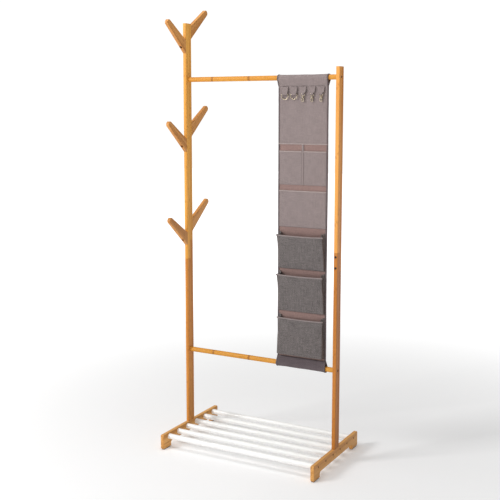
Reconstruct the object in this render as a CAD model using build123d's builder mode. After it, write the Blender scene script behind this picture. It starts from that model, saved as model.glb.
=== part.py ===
"""Bamboo clothes rack with six hook arms, a shoe shelf of six steel tubes and a cloth organiser.

Millimetres. +Z is up and +X runs along the rails, with the taller hook post at -X. The front is -Y.
The origin is on the floor, midway between the posts and midway between the front and back feet.
"""

import os
from math import asin, cos, radians, sin

from build123d import *

os.makedirs("parts", exist_ok=True)

# ---- overall sizes -------------------------------------------------------------------------------
post_spacing = 681.0      # centre to centre, along X
base_length = 434.0       # front toe to back toe, along Y
right_post_top = 1557.0
hook_post_rise = 188.0    # how much taller the left post is

# ---- boards --------------------------------------------------------------------------------------
board_thickness = 15.0    # along X, the same for posts, base rails and hook arms
post_depth = 40.0         # along Y
board_rounding = 1.8      # eased long edges
rail_board_height = 40.0  # height of a base rail between its feet
rail_clearance = 23.0     # floor to the underside of a base rail, between its feet
foot_length = 56.0
foot_corner = 5.0         # eased corners of a foot
foot_inner_radius = 9.0   # hollow corner where a foot meets the rail's underside
pad_thickness = 3.0
pad_inset = 1.5

# ---- splices -------------------------------------------------------------------------------------
splice_centre_z = 811.0
splice_length = 76.0
splice_bolt_spacing = 43.0
splice_hole_depth = 17.0  # bolt hole beyond the splice, inside the far half

# ---- round rails and shelf tubes -----------------------------------------------------------------
rail_diameter = 20.0
top_rail_drop = 39.0      # right post's top to the top rail's centre
lower_rail_z = 379.0
tube_diameter = 22.0
tube_wall = 1.2
tube_z = 47.0
tube_margin = 42.0        # toe to the centre of the first tube
tube_count = 6
plug_length = 18.0

# ---- hook arms -----------------------------------------------------------------------------------
hook_root = 54.0          # height of the face that meets the post
hook_lower_edge = 175.0   # length of the lower edge before the tip is rounded
hook_lower_angle = 40.0   # slope of the lower edge
hook_axis_angle = 36.5    # slope of the arm's axis, which the end is square to
hook_tip_width = 22.0
hook_tip_rounding = 10.3
hook_bolt_height = 24.0   # above the arm's lowest point
hook_seat = 12.0          # wood left between the bolt's head and the post
front_hook_drop = {"top": 121.0, "middle": 523.0, "bottom": 913.0}    # left post's top to each arm's foot
back_hook_drop = {"top": 62.0, "middle": 460.0, "bottom": 858.0}

# ---- fasteners -----------------------------------------------------------------------------------
bolt_radius = 3.0
bolt_head_radius = 4.6
bolt_head_height = 4.0
bolt_hole_radius = 3.3
bolt_recess_radius = 5.0
bolt_recess_depth = 5.0
key_width = 4.0           # hexagon socket, across its corners' circle radius times two
key_depth = 2.4
insert_radius = 4.5
insert_length = 14.0
insert_bore_radius = 3.05
insert_hole_depth = 20.0
screw_radius = 2.0
screw_head_radius = 3.8
screw_head_height = 2.6
screw_hole_radius = 2.3
screw_recess_radius = 4.2
screw_recess_depth = 3.5
screw_grip = 14.0         # length of screw inside its plug
plug_bore_radius = 2.05
dowel_radius = 3.0
dowel_length = 30.0
dowel_spacing = 26.0
end_gap = 0.5             # space left beyond the end of a dowel

# ---- organiser -----------------------------------------------------------------------------------
organiser_gap = 37.0      # right post to the organiser
organiser_width = 213.0
panel_thickness = 2.4
cloth = 1.2               # thickness of one layer of cloth
binding_width = 5.5
sleeve_gap = 2.4          # slack between a rail and its sleeve
sleeve_hang_gap = 0.5     # space left above the top rail, inside the sleeve
top_seam_drop = 30.0      # top rail's centre to the seam below its sleeve
bottom_seam_rise = 29.0   # lower rail's centre to the seam above its sleeve
small_pocket_gap = 8.0    # between the two small pockets
flat_pocket_depth = 3.6
flat_pocket_inset = 0.5
large_pocket_inset = 1.0  # from the binding
large_pocket_mouth = {"large_bottom": 14.0, "large_middle": 25.0, "large_top": 25.0}
large_pocket_foot = {"large_bottom": 26.0, "large_middle": 10.0, "large_top": 10.0}

# each row of pockets, from the bottom seam upwards: the gap below it and its height
pocket_rows = {
    "large_bottom": (12.0, 151.0),
    "large_middle": (27.0, 149.0),
    "large_top": (23.0, 136.0),
    "wide": (30.0, 145.0),
    "small": (22.0, 133.0),
}
front_panel_gap = 25.0    # between the small pockets and the plain front panel

# ---- tabs, rings and clasps ----------------------------------------------------------------------
tab_count = 5
ring_count = 2
tab_pitch = 38.5
first_tab_inset = 31.0    # organiser's left edge to the centre of the first tab
tab_top_drop = 4.0        # top seam to the top of a tab
tab_length = 29.0         # top of a tab to the centre of its loop
tab_seam_height = 6.0
tab_top_width = 28.0
tab_bottom_width = 22.0
tab_thickness = 2.0
loop_forward = 6.8        # loop centre ahead of the front panel's face
loop_bore_radius = 2.0
loop_wall = 1.1
clasp_loop_width = 11.5
ring_wire_radius = 1.7
ring_inner_width = 25.0
ring_drop = 20.0
eye_wire_radius = 1.1
eye_inner_width = 15.0
eye_collar_radius = 2.9
eye_collar_height = 4.0
eye_waist = 5.0           # half the eye's width at its collar
eye_drop = 8.0            # bar centre to collar centre
stud_radius = 1.35
stud_clearance = 0.08
stud_head_radius = 2.1
stud_head_height = 1.2
end_play = 0.1
clasp_thickness = 4.0
clasp_half_width = 5.8
clasp_wall = 2.2
clasp_shoulder_height = 4.4
clasp_neck_height = 2.5
clasp_length = 17.0       # from the top of the shoulder to the bottom of the hook
gate_thickness = 1.6
gate_slot = 2.2
gate_width = 1.8
gate_gap = 0.3
gate_slot_width = 6.0
gate_eye_radius = 1.4
gate_thumb_radius = 1.5
gate_pin_radius = 0.6
gate_pin_clearance = 0.06
nose_height = 5.2         # height of the hook's nose above the bottom of the hook

# ---- places worked out from the sizes above ------------------------------------------------------
post_x = post_spacing / 2
outer_x = post_x + board_thickness / 2
inner_x = post_x - board_thickness / 2
rail_top_z = rail_clearance + rail_board_height
left_post_top = right_post_top + hook_post_rise
top_rail_z = right_post_top - top_rail_drop
splice_top_z = splice_centre_z + splice_length / 2
splice_bottom_z = splice_centre_z - splice_length / 2
splice_bolt_z = [splice_centre_z - splice_bolt_spacing / 2, splice_centre_z + splice_bolt_spacing / 2]
tube_pitch = (base_length - 2 * tube_margin) / (tube_count - 1)
tube_y = [tube_margin - base_length / 2 + i * tube_pitch for i in range(tube_count)]
hook_z = {
    "front": {level: left_post_top - drop for level, drop in front_hook_drop.items()},
    "back": {level: left_post_top - drop for level, drop in back_hook_drop.items()},
}
panel_right = inner_x - organiser_gap
panel_left = panel_right - organiser_width
organiser_centre_x = (panel_left + panel_right) / 2
top_seam_z = top_rail_z - top_seam_drop
bottom_seam_z = lower_rail_z + bottom_seam_rise
pocket_z = {}
row_top = bottom_seam_z
for row, (gap, height) in pocket_rows.items():
    pocket_z[row] = (row_top + gap, row_top + gap + height)
    row_top = row_top + gap + height
front_panel_bottom_z = row_top + front_panel_gap
panel_front_y = -panel_thickness / 2
cloth_front_y = panel_front_y - cloth
tab_x = [panel_left + first_tab_inset + i * tab_pitch for i in range(tab_count)]
tab_top_z = top_seam_z - tab_top_drop
loop_z = tab_top_z - tab_length
loop_y = cloth_front_y - loop_forward
collar_z = loop_z - eye_drop


def save(part, name):
    """Label a finished piece and write it to its own file."""
    part.part.label = name
    export_step(part.part, f"parts/{name}.step")


def facing(origin, direction):
    """A plane at a point, whose normal is the direction that a hole opens or a bolt's head looks."""
    return Plane(origin=origin, z_dir=direction)


def drill(plane, radius, depth):
    """Cut a round hole into the material behind a plane."""
    with Locations(plane):
        Cylinder(radius, depth, align=(Align.CENTER, Align.CENTER, Align.MAX), mode=Mode.SUBTRACT)


def add_rod(plane, radius, length):
    """Add a round rod behind a plane."""
    with Locations(plane):
        Cylinder(radius, length, align=(Align.CENTER, Align.CENTER, Align.MAX))


def add_bolt(seat, shank_radius, shank_length, head_radius, head_height):
    """Add a bolt or screw: the head stands on the seat plane and the shank runs back from it."""
    add_rod(seat, shank_radius, shank_length)
    add_rod(seat.offset(head_height), head_radius, head_height)
    with BuildSketch(seat.offset(head_height)) as socket:
        RegularPolygon(key_width / 2, 6)
    extrude(socket.sketch, amount=-key_depth, mode=Mode.SUBTRACT)


# ---- seats of every bolt, as planes that look towards the bolt's head ----------------------------
def rail_bolt_seats(side):
    depth = outer_x - bolt_recess_depth
    return [facing((side * depth, 0, z), (side, 0, 0)) for z in (top_rail_z, lower_rail_z)]


def tube_screw_seats(side):
    depth = outer_x - screw_recess_depth
    return [facing((side * depth, y, tube_z), (side, 0, 0)) for y in tube_y]


def splice_bolt_seats(side):
    """The right post's heads are at the front and the left post's at the back."""
    depth = -side * (post_depth / 2 - bolt_recess_depth)
    return [facing((side * post_x, depth, z), (0, -side, 0)) for z in splice_bolt_z]


def hook_bolt_seats(place):
    direction = -1 if place == "front" else 1
    depth = direction * (post_depth / 2 + hook_seat)
    heights = [z + hook_bolt_height for z in hook_z[place].values()]
    return [facing((-post_x, depth, z), (0, direction, 0)) for z in heights]


def post_bolt_seat(side):
    return facing((side * post_x, 0, rail_clearance + bolt_recess_depth), (0, 0, -1))


# ---- posts ---------------------------------------------------------------------------------------
def make_post(name, side, upper, bottom_z, top_z):
    """One length of a post. The splice halves it in depth: the right post's lower length keeps its
    front half there and its upper length the back half, and the left post is turned round."""
    with BuildPart() as post:
        with BuildSketch(Plane.XY.offset(bottom_z)):
            with Locations((side * post_x, 0)):
                RectangleRounded(board_thickness, post_depth, board_rounding)
        extrude(amount=top_z - bottom_z)
        cut_side = -side if upper else side
        with Locations((side * post_x, cut_side * post_depth / 4, splice_centre_z)):
            Box(board_thickness, post_depth / 2, splice_length, mode=Mode.SUBTRACT)
        for seat in splice_bolt_seats(side):
            drill(seat.offset(bolt_recess_depth), bolt_recess_radius, bolt_recess_depth)
            shoulder = post_depth / 2 - bolt_recess_depth
            drill(seat, bolt_hole_radius, shoulder)
            drill(seat.offset(-shoulder), insert_radius, insert_length)
            drill(seat.offset(-shoulder), bolt_hole_radius, splice_hole_depth)
        rail_seat = rail_bolt_seats(side)[0 if upper else 1]
        drill(rail_seat.offset(bolt_recess_depth), bolt_recess_radius, bolt_recess_depth)
        drill(rail_seat, bolt_hole_radius, board_thickness)
        if upper:
            top_edges = post.edges().filter_by(GeomType.LINE).group_by(Axis.Z)[-1]
            chamfer(top_edges, board_rounding / 2)
        else:
            foot = facing((side * post_x, 0, bottom_z), (0, 0, -1))
            drill(foot, insert_radius, insert_length)
            drill(foot, bolt_hole_radius, insert_hole_depth)
            for y in (-dowel_spacing / 2, dowel_spacing / 2):
                dowel_hole = facing((side * post_x, y, bottom_z), (0, 0, -1))
                drill(dowel_hole, dowel_radius, dowel_length / 2 + end_gap)
        if upper and side < 0:
            for place in hook_z:
                for seat in hook_bolt_seats(place):
                    drill(seat.offset(-hook_seat), insert_radius, insert_length)
                    drill(seat.offset(-hook_seat), bolt_hole_radius, insert_hole_depth - bolt_radius)
    save(post, name)


make_post("left_post_lower", -1, False, rail_top_z, splice_top_z)
make_post("left_post_upper", -1, True, splice_bottom_z, left_post_top)
make_post("right_post_lower", 1, False, rail_top_z, splice_top_z)
make_post("right_post_upper", 1, True, splice_bottom_z, right_post_top)


# ---- base rails ----------------------------------------------------------------------------------
def make_base_rail(name, side):
    """A board on edge whose two ends reach down as feet."""
    toe = base_length / 2
    heel = toe - foot_length
    with BuildPart() as rail:
        with BuildSketch(Plane.YZ.offset(side * post_x)):
            with BuildLine():
                Polyline(
                    (-toe, pad_thickness),
                    (-heel, pad_thickness),
                    (-heel, rail_clearance),
                    (heel, rail_clearance),
                    (heel, pad_thickness),
                    (toe, pad_thickness),
                    (toe, rail_top_z),
                    (-toe, rail_top_z),
                    close=True,
                )
            make_face()
            inner_corners = vertices().filter_by(lambda v: abs(v.X) < heel + 1 and v.Y > pad_thickness + 1)
            fillet(inner_corners, foot_inner_radius)
            fillet(vertices().filter_by(lambda v: abs(v.X) > toe - 1), foot_corner)
        extrude(amount=board_thickness / 2, both=True)
        fillet(rail.faces().filter_by(Axis.X).edges(), board_rounding)
        for seat in tube_screw_seats(side):
            drill(seat.offset(screw_recess_depth), screw_recess_radius, screw_recess_depth)
            drill(seat, screw_hole_radius, board_thickness)
        seat = post_bolt_seat(side)
        drill(seat.offset(bolt_recess_depth), bolt_recess_radius, bolt_recess_depth)
        drill(seat, bolt_hole_radius, rail_board_height)
        for y in (-dowel_spacing / 2, dowel_spacing / 2):
            mouth = facing((side * post_x, y, rail_top_z), (0, 0, 1))
            drill(mouth, dowel_radius, dowel_length / 2 + end_gap)
    save(rail, name)


make_base_rail("left_base_rail", -1)
make_base_rail("right_base_rail", 1)

with BuildPart() as foot_pads:
    with BuildSketch(Plane.XY):
        for side in (-1, 1):
            for end in (-1, 1):
                with Locations((side * post_x, end * (base_length - foot_length) / 2)):
                    width = board_thickness - 2 * pad_inset
                    length = foot_length - 2 * foot_corner
                    RectangleRounded(width, length, pad_inset)
    extrude(amount=pad_thickness)
save(foot_pads, "foot_pads")


# ---- round rails and shelf tubes -----------------------------------------------------------------
def make_round_rail(name, z):
    """A round rail with a stepped hole in each end: the wide part holds the threaded insert."""
    with BuildPart() as rail:
        add_rod(facing((inner_x, 0, z), (1, 0, 0)), rail_diameter / 2, 2 * inner_x)
        for side in (-1, 1):
            end = facing((side * inner_x, 0, z), (side, 0, 0))
            drill(end, insert_radius, insert_length)
            drill(end, bolt_hole_radius, insert_hole_depth)
    save(rail, name)


make_round_rail("top_rail", top_rail_z)
make_round_rail("lower_rail", lower_rail_z)

for number, y in enumerate(tube_y, start=1):
    with BuildPart() as tube:
        end = facing((inner_x, y, tube_z), (1, 0, 0))
        add_rod(end, tube_diameter / 2, 2 * inner_x)
        drill(end, tube_diameter / 2 - tube_wall, 2 * inner_x)
    save(tube, f"shoe_tube_{number}")

with BuildPart() as tube_plugs:
    for side in (-1, 1):
        for y in tube_y:
            end = facing((side * inner_x, y, tube_z), (side, 0, 0))
            add_rod(end, tube_diameter / 2 - tube_wall, plug_length)
            drill(end, plug_bore_radius, plug_length)
save(tube_plugs, "tube_plugs")


# ---- hook arms -----------------------------------------------------------------------------------
def make_hook(name, place, z):
    """A flat tapered arm that rises away from the post, with a recessed bolt through its root."""
    direction = -1 if place == "front" else 1
    side_face = Plane(
        origin=(-post_x, direction * post_depth / 2, z), x_dir=(0, direction, 0), z_dir=(direction, 0, 0)
    )
    lower = radians(hook_lower_angle)
    axis = radians(hook_axis_angle)
    nose = (hook_lower_edge * cos(lower), hook_lower_edge * sin(lower))
    tip = (nose[0] - hook_tip_width * sin(axis), nose[1] + hook_tip_width * cos(axis))
    with BuildPart() as hook:
        with BuildSketch(side_face) as outline:
            with BuildLine():
                Polyline((0, 0), nose, tip, (0, hook_root), close=True)
            make_face()
            fillet(outline.vertices().sort_by(Axis.X)[-2:], hook_tip_rounding)
        extrude(amount=board_thickness / 2, both=True)
        flat_faces = hook.faces().filter_by(Axis.X)
        rim = flat_faces.edges().filter_by(lambda e: abs(e.center().Y) > post_depth / 2 + 1)
        fillet(rim, board_rounding)
        seat_y = direction * (post_depth / 2 + hook_seat)
        seat = facing((-post_x, seat_y, z + hook_bolt_height), (0, direction, 0))
        drill(seat.offset(hook_root), bolt_recess_radius, hook_root)
        drill(seat, bolt_hole_radius, hook_seat)
    save(hook, name)


for place, heights in hook_z.items():
    for level, z in heights.items():
        make_hook(f"hook_{place}_{level}", place, z)

# ---- fasteners -----------------------------------------------------------------------------------
with BuildPart() as rail_bolts:
    for side in (-1, 1):
        for seat in rail_bolt_seats(side):
            length = board_thickness - bolt_recess_depth + insert_length
            add_bolt(seat, bolt_radius, length, bolt_head_radius, bolt_head_height)
save(rail_bolts, "rail_bolts")

with BuildPart() as splice_bolts:
    for side in (-1, 1):
        for seat in splice_bolt_seats(side):
            length = post_depth / 2 - bolt_recess_depth + insert_length
            add_bolt(seat, bolt_radius, length, bolt_head_radius, bolt_head_height)
save(splice_bolts, "splice_bolts")

with BuildPart() as hook_bolts:
    for place in hook_z:
        for seat in hook_bolt_seats(place):
            add_bolt(seat, bolt_radius, hook_seat + insert_length, bolt_head_radius, bolt_head_height)
save(hook_bolts, "hook_bolts")

with BuildPart() as post_bolts:
    for side in (-1, 1):
        length = rail_board_height - bolt_recess_depth + insert_length
        add_bolt(post_bolt_seat(side), bolt_radius, length, bolt_head_radius, bolt_head_height)
save(post_bolts, "post_bolts")

with BuildPart() as tube_screws:
    for side in (-1, 1):
        for seat in tube_screw_seats(side):
            length = board_thickness - screw_recess_depth + screw_grip
            add_bolt(seat, screw_radius, length, screw_head_radius, screw_head_height)
save(tube_screws, "tube_screws")

with BuildPart() as threaded_inserts:
    for side in (-1, 1):
        mouths = [facing((side * inner_x, 0, z), (side, 0, 0)) for z in (top_rail_z, lower_rail_z)]
        mouths += [seat.offset(-(post_depth / 2 - bolt_recess_depth)) for seat in splice_bolt_seats(side)]
        mouths += [facing((side * post_x, 0, rail_top_z), (0, 0, -1))]
        if side < 0:
            mouths += [seat.offset(-hook_seat) for place in hook_z for seat in hook_bolt_seats(place)]
        for mouth in mouths:
            add_rod(mouth, insert_radius, insert_length)
            drill(mouth, insert_bore_radius, insert_length)
save(threaded_inserts, "threaded_inserts")

with BuildPart() as post_dowels:
    for side in (-1, 1):
        for y in (-dowel_spacing / 2, dowel_spacing / 2):
            top = facing((side * post_x, y, rail_top_z + dowel_length / 2), (0, 0, 1))
            add_rod(top, dowel_radius, dowel_length)
save(post_dowels, "post_dowels")


# ---- organiser -----------------------------------------------------------------------------------
def teardrop(radius, centre_z, apex_z):
    """A round loop that closes to a point: a circle and the two tangents from its apex."""
    reach = abs(centre_z - apex_z)
    turn = asin(radius / reach)
    side = radius * cos(turn)
    height = centre_z + radius * sin(turn) * (1 if apex_z > centre_z else -1)
    with Locations((0, centre_z)):
        Circle(radius)
    with BuildLine() as tangents:
        Polyline((0, apex_z), (side, height), (-side, height), close=True)
    make_face(tangents.line)


def make_sleeve(name, centre_z, seam_z, apex_side):
    """A loop of cloth round a rail. Its walls meet the panel at the seam."""
    inner_radius = rail_diameter / 2 + sleeve_gap
    inner_apex = seam_z - apex_side * panel_thickness / 2
    turn = asin(inner_radius / abs(centre_z - inner_apex))
    outer_apex = inner_apex + apex_side * cloth / sin(turn)
    with BuildPart() as sleeve:
        with BuildSketch(Plane.YZ.offset(organiser_centre_x)) as loop:
            teardrop(inner_radius + cloth, centre_z, outer_apex)
            with Locations((0, seam_z + apex_side * organiser_width / 2)):
                Rectangle(4 * inner_radius, organiser_width, mode=Mode.SUBTRACT)
        extrude(loop.sketch, amount=organiser_width / 2, both=True)
        with BuildSketch(Plane.YZ.offset(organiser_centre_x)) as hollow:
            teardrop(inner_radius, centre_z, inner_apex)
        extrude(hollow.sketch, amount=organiser_width / 2, both=True, mode=Mode.SUBTRACT)
    save(sleeve, name)


top_sleeve_z = top_rail_z - sleeve_gap + sleeve_hang_gap
make_sleeve("top_sleeve", top_sleeve_z, top_seam_z, -1)
make_sleeve("bottom_sleeve", lower_rail_z, bottom_seam_z, 1)


def make_sheet(name, left, right, bottom, top, back_y, front_y):
    """A flat layer of cloth, upright and square to Y."""
    with BuildPart() as sheet:
        with Locations(((left + right) / 2, (back_y + front_y) / 2, (bottom + top) / 2)):
            Box(right - left, back_y - front_y, top - bottom)
    save(sheet, name)


layer_left = panel_left + cloth
layer_right = panel_right - cloth
layer = (layer_left, layer_right)
make_sheet("back_panel", *layer, bottom_seam_z, top_seam_z, panel_thickness / 2, panel_front_y)
make_sheet("front_panel", *layer, front_panel_bottom_z, top_seam_z, panel_front_y, cloth_front_y)

for name, side in (("left_binding", -1), ("right_binding", 1)):
    with BuildPart() as binding:
        edge_x = organiser_centre_x + side * organiser_width / 2
        centre_x = edge_x - side * binding_width / 2
        height = top_seam_z - bottom_seam_z
        middle_z = (top_seam_z + bottom_seam_z) / 2
        middle_y = (panel_thickness / 2 + cloth_front_y) / 2
        depth = panel_thickness + cloth
        with Locations((centre_x, middle_y, middle_z)):
            Box(binding_width, depth + 2 * cloth, height)
        with Locations((centre_x - side * cloth, middle_y, middle_z)):
            Box(binding_width, depth, height, mode=Mode.SUBTRACT)
    save(binding, name)

pocket_left = panel_left + binding_width
pocket_right = panel_right - binding_width


def make_pocket(name, left, right, bottom, top, foot_depth, mouth_depth):
    """A pocket on the back panel: a front, a bottom and two sides, open at the top."""
    with BuildPart() as pocket:
        with BuildSketch(Plane.YZ.offset((left + right) / 2)) as outside:
            with BuildLine():
                Polyline(
                    (panel_front_y, bottom),
                    (panel_front_y - foot_depth, bottom),
                    (panel_front_y - mouth_depth, top),
                    (panel_front_y, top),
                    close=True,
                )
            make_face()
        extrude(outside.sketch, amount=(right - left) / 2, both=True)
        with BuildSketch(Plane.YZ.offset((left + right) / 2)) as inside:
            with BuildLine():
                Polyline(
                    (panel_front_y, bottom + cloth),
                    (panel_front_y - foot_depth + cloth, bottom + cloth),
                    (panel_front_y - mouth_depth + cloth, top),
                    (panel_front_y, top),
                    close=True,
                )
            make_face()
        extrude(inside.sketch, amount=(right - left) / 2 - cloth, both=True, mode=Mode.SUBTRACT)
    save(pocket, name)


flat_left = pocket_left + flat_pocket_inset
flat_right = pocket_right - flat_pocket_inset
half_gap = small_pocket_gap / 2
small_size = (*pocket_z["small"], flat_pocket_depth, flat_pocket_depth)
make_pocket("small_pocket_left", flat_left, organiser_centre_x - half_gap, *small_size)
make_pocket("small_pocket_right", organiser_centre_x + half_gap, flat_right, *small_size)
make_pocket("wide_pocket", flat_left, flat_right, *pocket_z["wide"], flat_pocket_depth, flat_pocket_depth)
for row in large_pocket_foot:
    make_pocket(
        row.replace("large", "large_pocket"),
        pocket_left + large_pocket_inset,
        pocket_right - large_pocket_inset,
        *pocket_z[row],
        large_pocket_foot[row],
        large_pocket_mouth[row],
    )


# ---- tabs ----------------------------------------------------------------------------------------
def make_tab(name, x, loop_width):
    """A strap sewn to the front panel, which slopes forward to a loop that holds a ring or an eye."""
    loop_radius = loop_bore_radius + loop_wall
    strap_end_z = loop_z + loop_radius
    with BuildPart() as tab:
        with BuildSketch(Plane.YZ.offset(x)) as strap:
            with BuildLine():
                Polyline(
                    (cloth_front_y, tab_top_z),
                    (cloth_front_y - tab_thickness, tab_top_z),
                    (cloth_front_y - tab_thickness, tab_top_z - tab_seam_height),
                    (loop_y - tab_thickness / 2, strap_end_z),
                    (loop_y - tab_thickness / 2, loop_z),
                    (loop_y + tab_thickness / 2, loop_z),
                    (loop_y + tab_thickness / 2, strap_end_z),
                    (cloth_front_y, tab_top_z - tab_seam_height),
                    close=True,
                )
            make_face()
        extrude(strap.sketch, amount=tab_top_width / 2, both=True)
        with BuildSketch(Plane.XZ) as outline:
            with BuildLine():
                Polyline(
                    (x - tab_top_width / 2, tab_top_z),
                    (x + tab_top_width / 2, tab_top_z),
                    (x + tab_bottom_width / 2, strap_end_z + loop_radius),
                    (x + loop_width / 2, strap_end_z),
                    (x + loop_width / 2, loop_z),
                    (x - loop_width / 2, loop_z),
                    (x - loop_width / 2, strap_end_z),
                    (x - tab_bottom_width / 2, strap_end_z + loop_radius),
                    close=True,
                )
            make_face()
        extrude(outline.sketch, amount=2 * post_depth, both=True, mode=Mode.INTERSECT)
        end = facing((x + loop_width / 2, loop_y, loop_z), (1, 0, 0))
        add_rod(end, loop_radius, loop_width)
        drill(end, loop_bore_radius, loop_width)
    save(tab, name)


for number, x in enumerate(tab_x, start=1):
    make_tab(f"tab_{number}", x, tab_bottom_width if number <= ring_count else clasp_loop_width)

# ---- rings ---------------------------------------------------------------------------------------
def bent_wire(corners, radii, wire_radius):
    """A closed loop of round wire at the tabs' loops, through corners given in X and Z."""
    with BuildLine(Plane.XZ.offset(-loop_y)) as route:
        FilletPolyline(*corners, close=True, radius=radii)
    with BuildSketch(Plane(origin=route.line @ 0, z_dir=route.line % 0)) as section:
        Circle(wire_radius)
    sweep(section.sketch, path=route.line)


for number, x in enumerate(tab_x[:ring_count], start=1):
    half_width = ring_inner_width / 2 + ring_wire_radius
    corner = 2 * ring_wire_radius
    low_z = loop_z - ring_drop
    bend = half_width - end_gap
    corners = [
        (x + half_width, loop_z),
        (x + half_width, low_z),
        (x - half_width, low_z),
        (x - half_width, loop_z),
    ]
    with BuildPart() as ring:
        bent_wire(corners, [corner, bend, bend, corner], ring_wire_radius)
    save(ring, f"ring_{number}")


# ---- swivel clasps -------------------------------------------------------------------------------
def make_clasp_eye(name, x):
    """A wire eye whose bar lies in the tab's loop, with a collar below that the hook swivels in."""
    half_width = eye_inner_width / 2 + eye_wire_radius
    corners = [
        (x + half_width, loop_z),
        (x + eye_waist, collar_z),
        (x - eye_waist, collar_z),
        (x - half_width, loop_z),
    ]
    with BuildPart() as eye:
        bent_wire(corners, [1.5 * eye_wire_radius] * 4, eye_wire_radius)
        top = facing((x, loop_y, collar_z + eye_collar_height / 2), (0, 0, 1))
        add_rod(top, eye_collar_radius, eye_collar_height)
        drill(top, stud_radius + stud_clearance, eye_collar_height)
    save(eye, name)


shoulder_z = collar_z - eye_collar_height / 2 - end_play - clasp_neck_height
clasp_bottom_z = shoulder_z - clasp_length
gate_pivot = (clasp_half_width - clasp_wall / 2 - gate_gap, shoulder_z - clasp_shoulder_height / 2)
nose_inner = clasp_half_width - clasp_wall
nose_top_z = clasp_bottom_z + nose_height


def make_clasp_hook(name, x):
    """A flat hook on a headed stud. Its mouth is on +X, and its shoulder is slotted for the gate."""
    with BuildPart() as hook:
        head_top = collar_z + eye_collar_height / 2 + end_play + stud_head_height
        add_rod(facing((x, loop_y, head_top), (0, 0, 1)), stud_head_radius, stud_head_height)
        add_rod(facing((x, loop_y, head_top), (0, 0, 1)), stud_radius, head_top - shoulder_z)
        neck_top = facing((x, loop_y, shoulder_z + clasp_neck_height), (0, 0, 1))
        add_rod(neck_top, stud_head_radius, clasp_neck_height)
        with BuildSketch(Plane.XZ.offset(-loop_y)) as outline:
            with Locations((x, shoulder_z - clasp_length / 2)):
                RectangleRounded(2 * clasp_half_width, clasp_length, clasp_half_width - gate_gap)
            eye_top_z = shoulder_z - clasp_shoulder_height
            eye_bottom_z = clasp_bottom_z + clasp_wall
            with Locations((x, (eye_top_z + eye_bottom_z) / 2)):
                RectangleRounded(
                    2 * nose_inner, eye_top_z - eye_bottom_z, nose_inner - gate_gap, mode=Mode.SUBTRACT
                )
            with Locations((x + clasp_half_width, (eye_top_z + nose_top_z) / 2)):
                Rectangle(2 * clasp_wall + gate_gap, eye_top_z - nose_top_z, mode=Mode.SUBTRACT)
        extrude(outline.sketch, amount=clasp_thickness / 2, both=True)
        with Locations((x + gate_pivot[0], loop_y, shoulder_z)):
            slot_height = clasp_shoulder_height + clasp_wall
            slot_align = (Align.CENTER, Align.CENTER, Align.MAX)
            Box(gate_slot_width, gate_slot, slot_height, align=slot_align, mode=Mode.SUBTRACT)
        pin_end = facing((x + gate_pivot[0], loop_y - clasp_thickness / 2, gate_pivot[1]), (0, -1, 0))
        add_rod(pin_end, gate_pin_radius, clasp_thickness)
    save(hook, name)


def make_clasp_gate(name, x):
    """A lever that closes the hook's mouth from inside the nose and turns on the shoulder's pin."""
    pivot = (x + gate_pivot[0], gate_pivot[1])
    tip = (x + nose_inner - 2 * gate_gap - gate_width / 2, nose_top_z - gate_width / 2)
    middle = ((pivot[0] + tip[0]) / 2, (pivot[1] + tip[1]) / 2)
    with BuildPart() as gate:
        with BuildSketch(Plane.XZ.offset(-loop_y)) as outline:
            SlotCenterPoint(middle, tip, gate_width)
            with Locations(pivot):
                Circle(gate_eye_radius)
            with Locations((pivot[0], shoulder_z - clasp_shoulder_height - gate_thumb_radius)):
                Circle(gate_thumb_radius)
            with Locations(pivot):
                Circle(gate_pin_radius + gate_pin_clearance, mode=Mode.SUBTRACT)
        extrude(outline.sketch, amount=gate_thickness / 2, both=True)
    save(gate, name)


for number, x in enumerate(tab_x[ring_count:], start=1):
    make_clasp_eye(f"clasp_eye_{number}", x)
    make_clasp_hook(f"clasp_hook_{number}", x)
    make_clasp_gate(f"clasp_gate_{number}", x)
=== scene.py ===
"""A bamboo clothes rack with hook arms, a shelf of steel tubes and a sewn organiser on its two rails.

Metres, +Z up, in the frame's own coordinates. The organiser's front faces -Y.
"""

from math import acos, atan2, cos, hypot, pi, radians, sin

import bmesh
import bpy
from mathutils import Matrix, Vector, noise


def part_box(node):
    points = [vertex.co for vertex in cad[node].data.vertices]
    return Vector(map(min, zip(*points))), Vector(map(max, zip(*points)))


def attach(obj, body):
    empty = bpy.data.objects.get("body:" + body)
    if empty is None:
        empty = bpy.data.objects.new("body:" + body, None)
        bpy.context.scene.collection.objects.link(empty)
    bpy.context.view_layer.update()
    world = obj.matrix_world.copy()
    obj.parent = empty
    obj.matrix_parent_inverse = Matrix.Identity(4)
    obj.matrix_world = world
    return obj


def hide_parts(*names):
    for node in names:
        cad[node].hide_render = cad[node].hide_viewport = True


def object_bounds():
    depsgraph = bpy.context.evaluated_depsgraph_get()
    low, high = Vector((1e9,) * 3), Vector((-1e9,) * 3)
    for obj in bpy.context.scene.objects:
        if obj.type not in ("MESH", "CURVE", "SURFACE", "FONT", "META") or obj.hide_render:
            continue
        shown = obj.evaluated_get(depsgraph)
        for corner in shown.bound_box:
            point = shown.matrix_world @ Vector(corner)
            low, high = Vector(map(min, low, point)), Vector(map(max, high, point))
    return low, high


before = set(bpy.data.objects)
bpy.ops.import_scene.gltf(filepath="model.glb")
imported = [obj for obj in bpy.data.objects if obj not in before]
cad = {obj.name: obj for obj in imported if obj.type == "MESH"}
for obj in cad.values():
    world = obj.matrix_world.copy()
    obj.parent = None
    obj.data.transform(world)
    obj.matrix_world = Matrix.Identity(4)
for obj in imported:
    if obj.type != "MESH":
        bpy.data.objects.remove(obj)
cad_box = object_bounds()


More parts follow.
